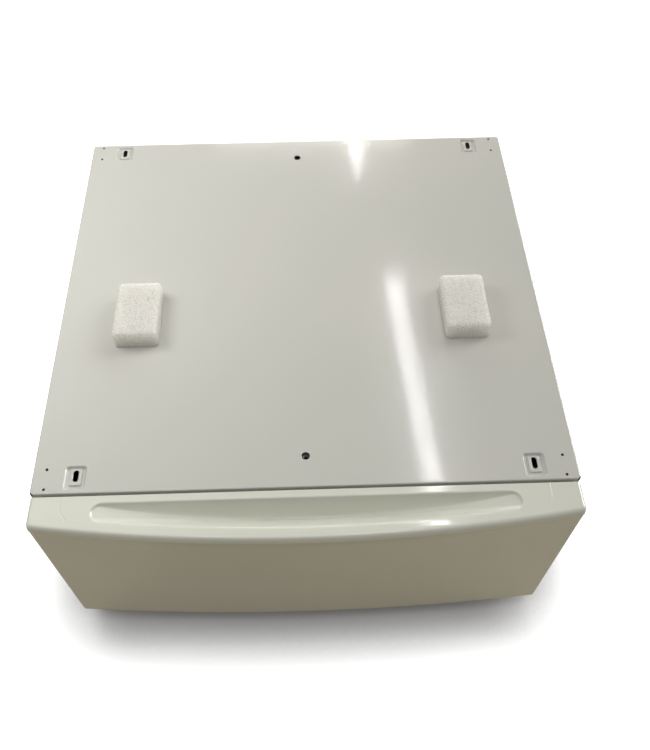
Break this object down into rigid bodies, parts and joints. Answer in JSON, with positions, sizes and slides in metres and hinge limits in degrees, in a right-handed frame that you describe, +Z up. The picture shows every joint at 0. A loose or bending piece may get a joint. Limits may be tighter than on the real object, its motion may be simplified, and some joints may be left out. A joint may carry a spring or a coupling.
{
  "type": "laundry pedestal drawer",
  "caption": "Low steel pedestal that carries a washer or dryer, with a full-width bowed storage drawer on ball slides, a scooped hand grip, slotted mounting pockets and levelling legs.",
  "frame": {"origin": "on the floor, under the middle of the overall box", "axes": "+Z up, +X to the right seen from ahead, the drawer opens towards -Y"},
  "size_m": [0.686, 0.7219, 0.375],
  "materials": {
    "white_enamel": "gloss",
    "galvanised_steel": "satin",
    "zinc_plate": "satin",
    "painted_bin": "satin",
    "moulded_white": "gloss",
    "black_rubber": "matte",
    "white_foam": "matte"
  },
  "bodies": {
    "cabinet": {"top_panel": "white_enamel", "side_panel_left": "white_enamel", "side_panel_right": "white_enamel", "rear_panel": "galvanised_steel", "front_top_rail": "galvanised_steel", "rear_top_rail": "galvanised_steel", "top_rib_left": "galvanised_steel", "top_rib_center": "galvanised_steel", "top_rib_right": "galvanised_steel", "center_weld_nuts": "zinc_plate", "front_base_rail": "galvanised_steel", "rear_base_rail": "galvanised_steel", "side_base_rail_left": "galvanised_steel", "side_base_rail_right": "galvanised_steel", "leg_bracket_front_left": "zinc_plate", "leg_bracket_front_right": "zinc_plate", "leg_bracket_rear_left": "zinc_plate", "leg_bracket_rear_right": "zinc_plate", "leg_weld_nuts": "zinc_plate", "leg_lock_nuts": "zinc_plate", "slide_support_left": "galvanised_steel", "slide_support_right": "galvanised_steel", "slide_outer_left": "zinc_plate", "slide_outer_right": "zinc_plate", "cabinet_rivets": "zinc_plate", "rear_screws": "zinc_plate", "foam_pad_left": "white_foam", "foam_pad_right": "white_foam"},
    "drawer": {"slide_inner_left": "zinc_plate", "slide_inner_right": "zinc_plate", "drawer_rivets": "zinc_plate", "drawer_front": "moulded_white", "front_backing": "painted_bin", "bin_front": "painted_bin", "bin_back": "painted_bin", "bin_left": "painted_bin", "bin_right": "painted_bin", "bin_bottom": "painted_bin", "front_screws": "zinc_plate", "drawer_bumpers": "black_rubber"},
    "middle_left": {"slide_middle_left": "zinc_plate"},
    "outer_cage_left": {"outer_cage_left": "zinc_plate", "outer_balls_left": "zinc_plate"},
    "inner_cage_left": {"inner_cage_left": "zinc_plate", "inner_balls_left": "zinc_plate"},
    "middle_right": {"slide_middle_right": "zinc_plate"},
    "outer_cage_right": {"outer_cage_right": "zinc_plate", "outer_balls_right": "zinc_plate"},
    "inner_cage_right": {"inner_cage_right": "zinc_plate", "inner_balls_right": "zinc_plate"},
    "leg_front_left": {"leg_stud_front_left": "zinc_plate", "foot_pad_front_left": "black_rubber"},
    "leg_front_right": {"leg_stud_front_right": "zinc_plate", "foot_pad_front_right": "black_rubber"},
    "leg_rear_left": {"leg_stud_rear_left": "zinc_plate", "foot_pad_rear_left": "black_rubber"},
    "leg_rear_right": {"leg_stud_rear_right": "zinc_plate", "foot_pad_rear_right": "black_rubber"}
  },
  "joints": [
    {"name": "drawer_slide", "type": "slide", "parent": "cabinet", "child": "drawer", "axis": [0, -1, 0], "range_m": [0, 0.45]},
    {"name": "middle_left_slide", "type": "slide", "parent": "cabinet", "child": "middle_left", "axis": [0, -1, 0], "range_m": [0, 0.225]},
    {"name": "outer_cage_left_slide", "type": "slide", "parent": "cabinet", "child": "outer_cage_left", "axis": [0, -1, 0], "range_m": [0, 0.1125]},
    {"name": "inner_cage_left_slide", "type": "slide", "parent": "cabinet", "child": "inner_cage_left", "axis": [0, -1, 0], "range_m": [0, 0.3375]},
    {"name": "middle_right_slide", "type": "slide", "parent": "cabinet", "child": "middle_right", "axis": [0, -1, 0], "range_m": [0, 0.225]},
    {"name": "outer_cage_right_slide", "type": "slide", "parent": "cabinet", "child": "outer_cage_right", "axis": [0, -1, 0], "range_m": [0, 0.1125]},
    {"name": "inner_cage_right_slide", "type": "slide", "parent": "cabinet", "child": "inner_cage_right", "axis": [0, -1, 0], "range_m": [0, 0.3375]},
    {"name": "leg_front_left_screw", "type": "slide", "parent": "cabinet", "child": "leg_front_left", "axis": [0, 0, -1], "range_m": [-0.0035, 0.018]},
    {"name": "leg_front_right_screw", "type": "slide", "parent": "cabinet", "child": "leg_front_right", "axis": [0, 0, -1], "range_m": [-0.0035, 0.018]},
    {"name": "leg_rear_left_screw", "type": "slide", "parent": "cabinet", "child": "leg_rear_left", "axis": [0, 0, -1], "range_m": [-0.0035, 0.018]},
    {"name": "leg_rear_right_screw", "type": "slide", "parent": "cabinet", "child": "leg_rear_right", "axis": [0, 0, -1], "range_m": [-0.0035, 0.018]}
  ],
  "couplings": [
    {"joint": "middle_left_slide", "follows": "drawer_slide", "ratio": 0.5},
    {"joint": "outer_cage_left_slide", "follows": "drawer_slide", "ratio": 0.25},
    {"joint": "inner_cage_left_slide", "follows": "drawer_slide", "ratio": 0.75},
    {"joint": "middle_right_slide", "follows": "drawer_slide", "ratio": 0.5},
    {"joint": "outer_cage_right_slide", "follows": "drawer_slide", "ratio": 0.25},
    {"joint": "inner_cage_right_slide", "follows": "drawer_slide", "ratio": 0.75}
  ]
}
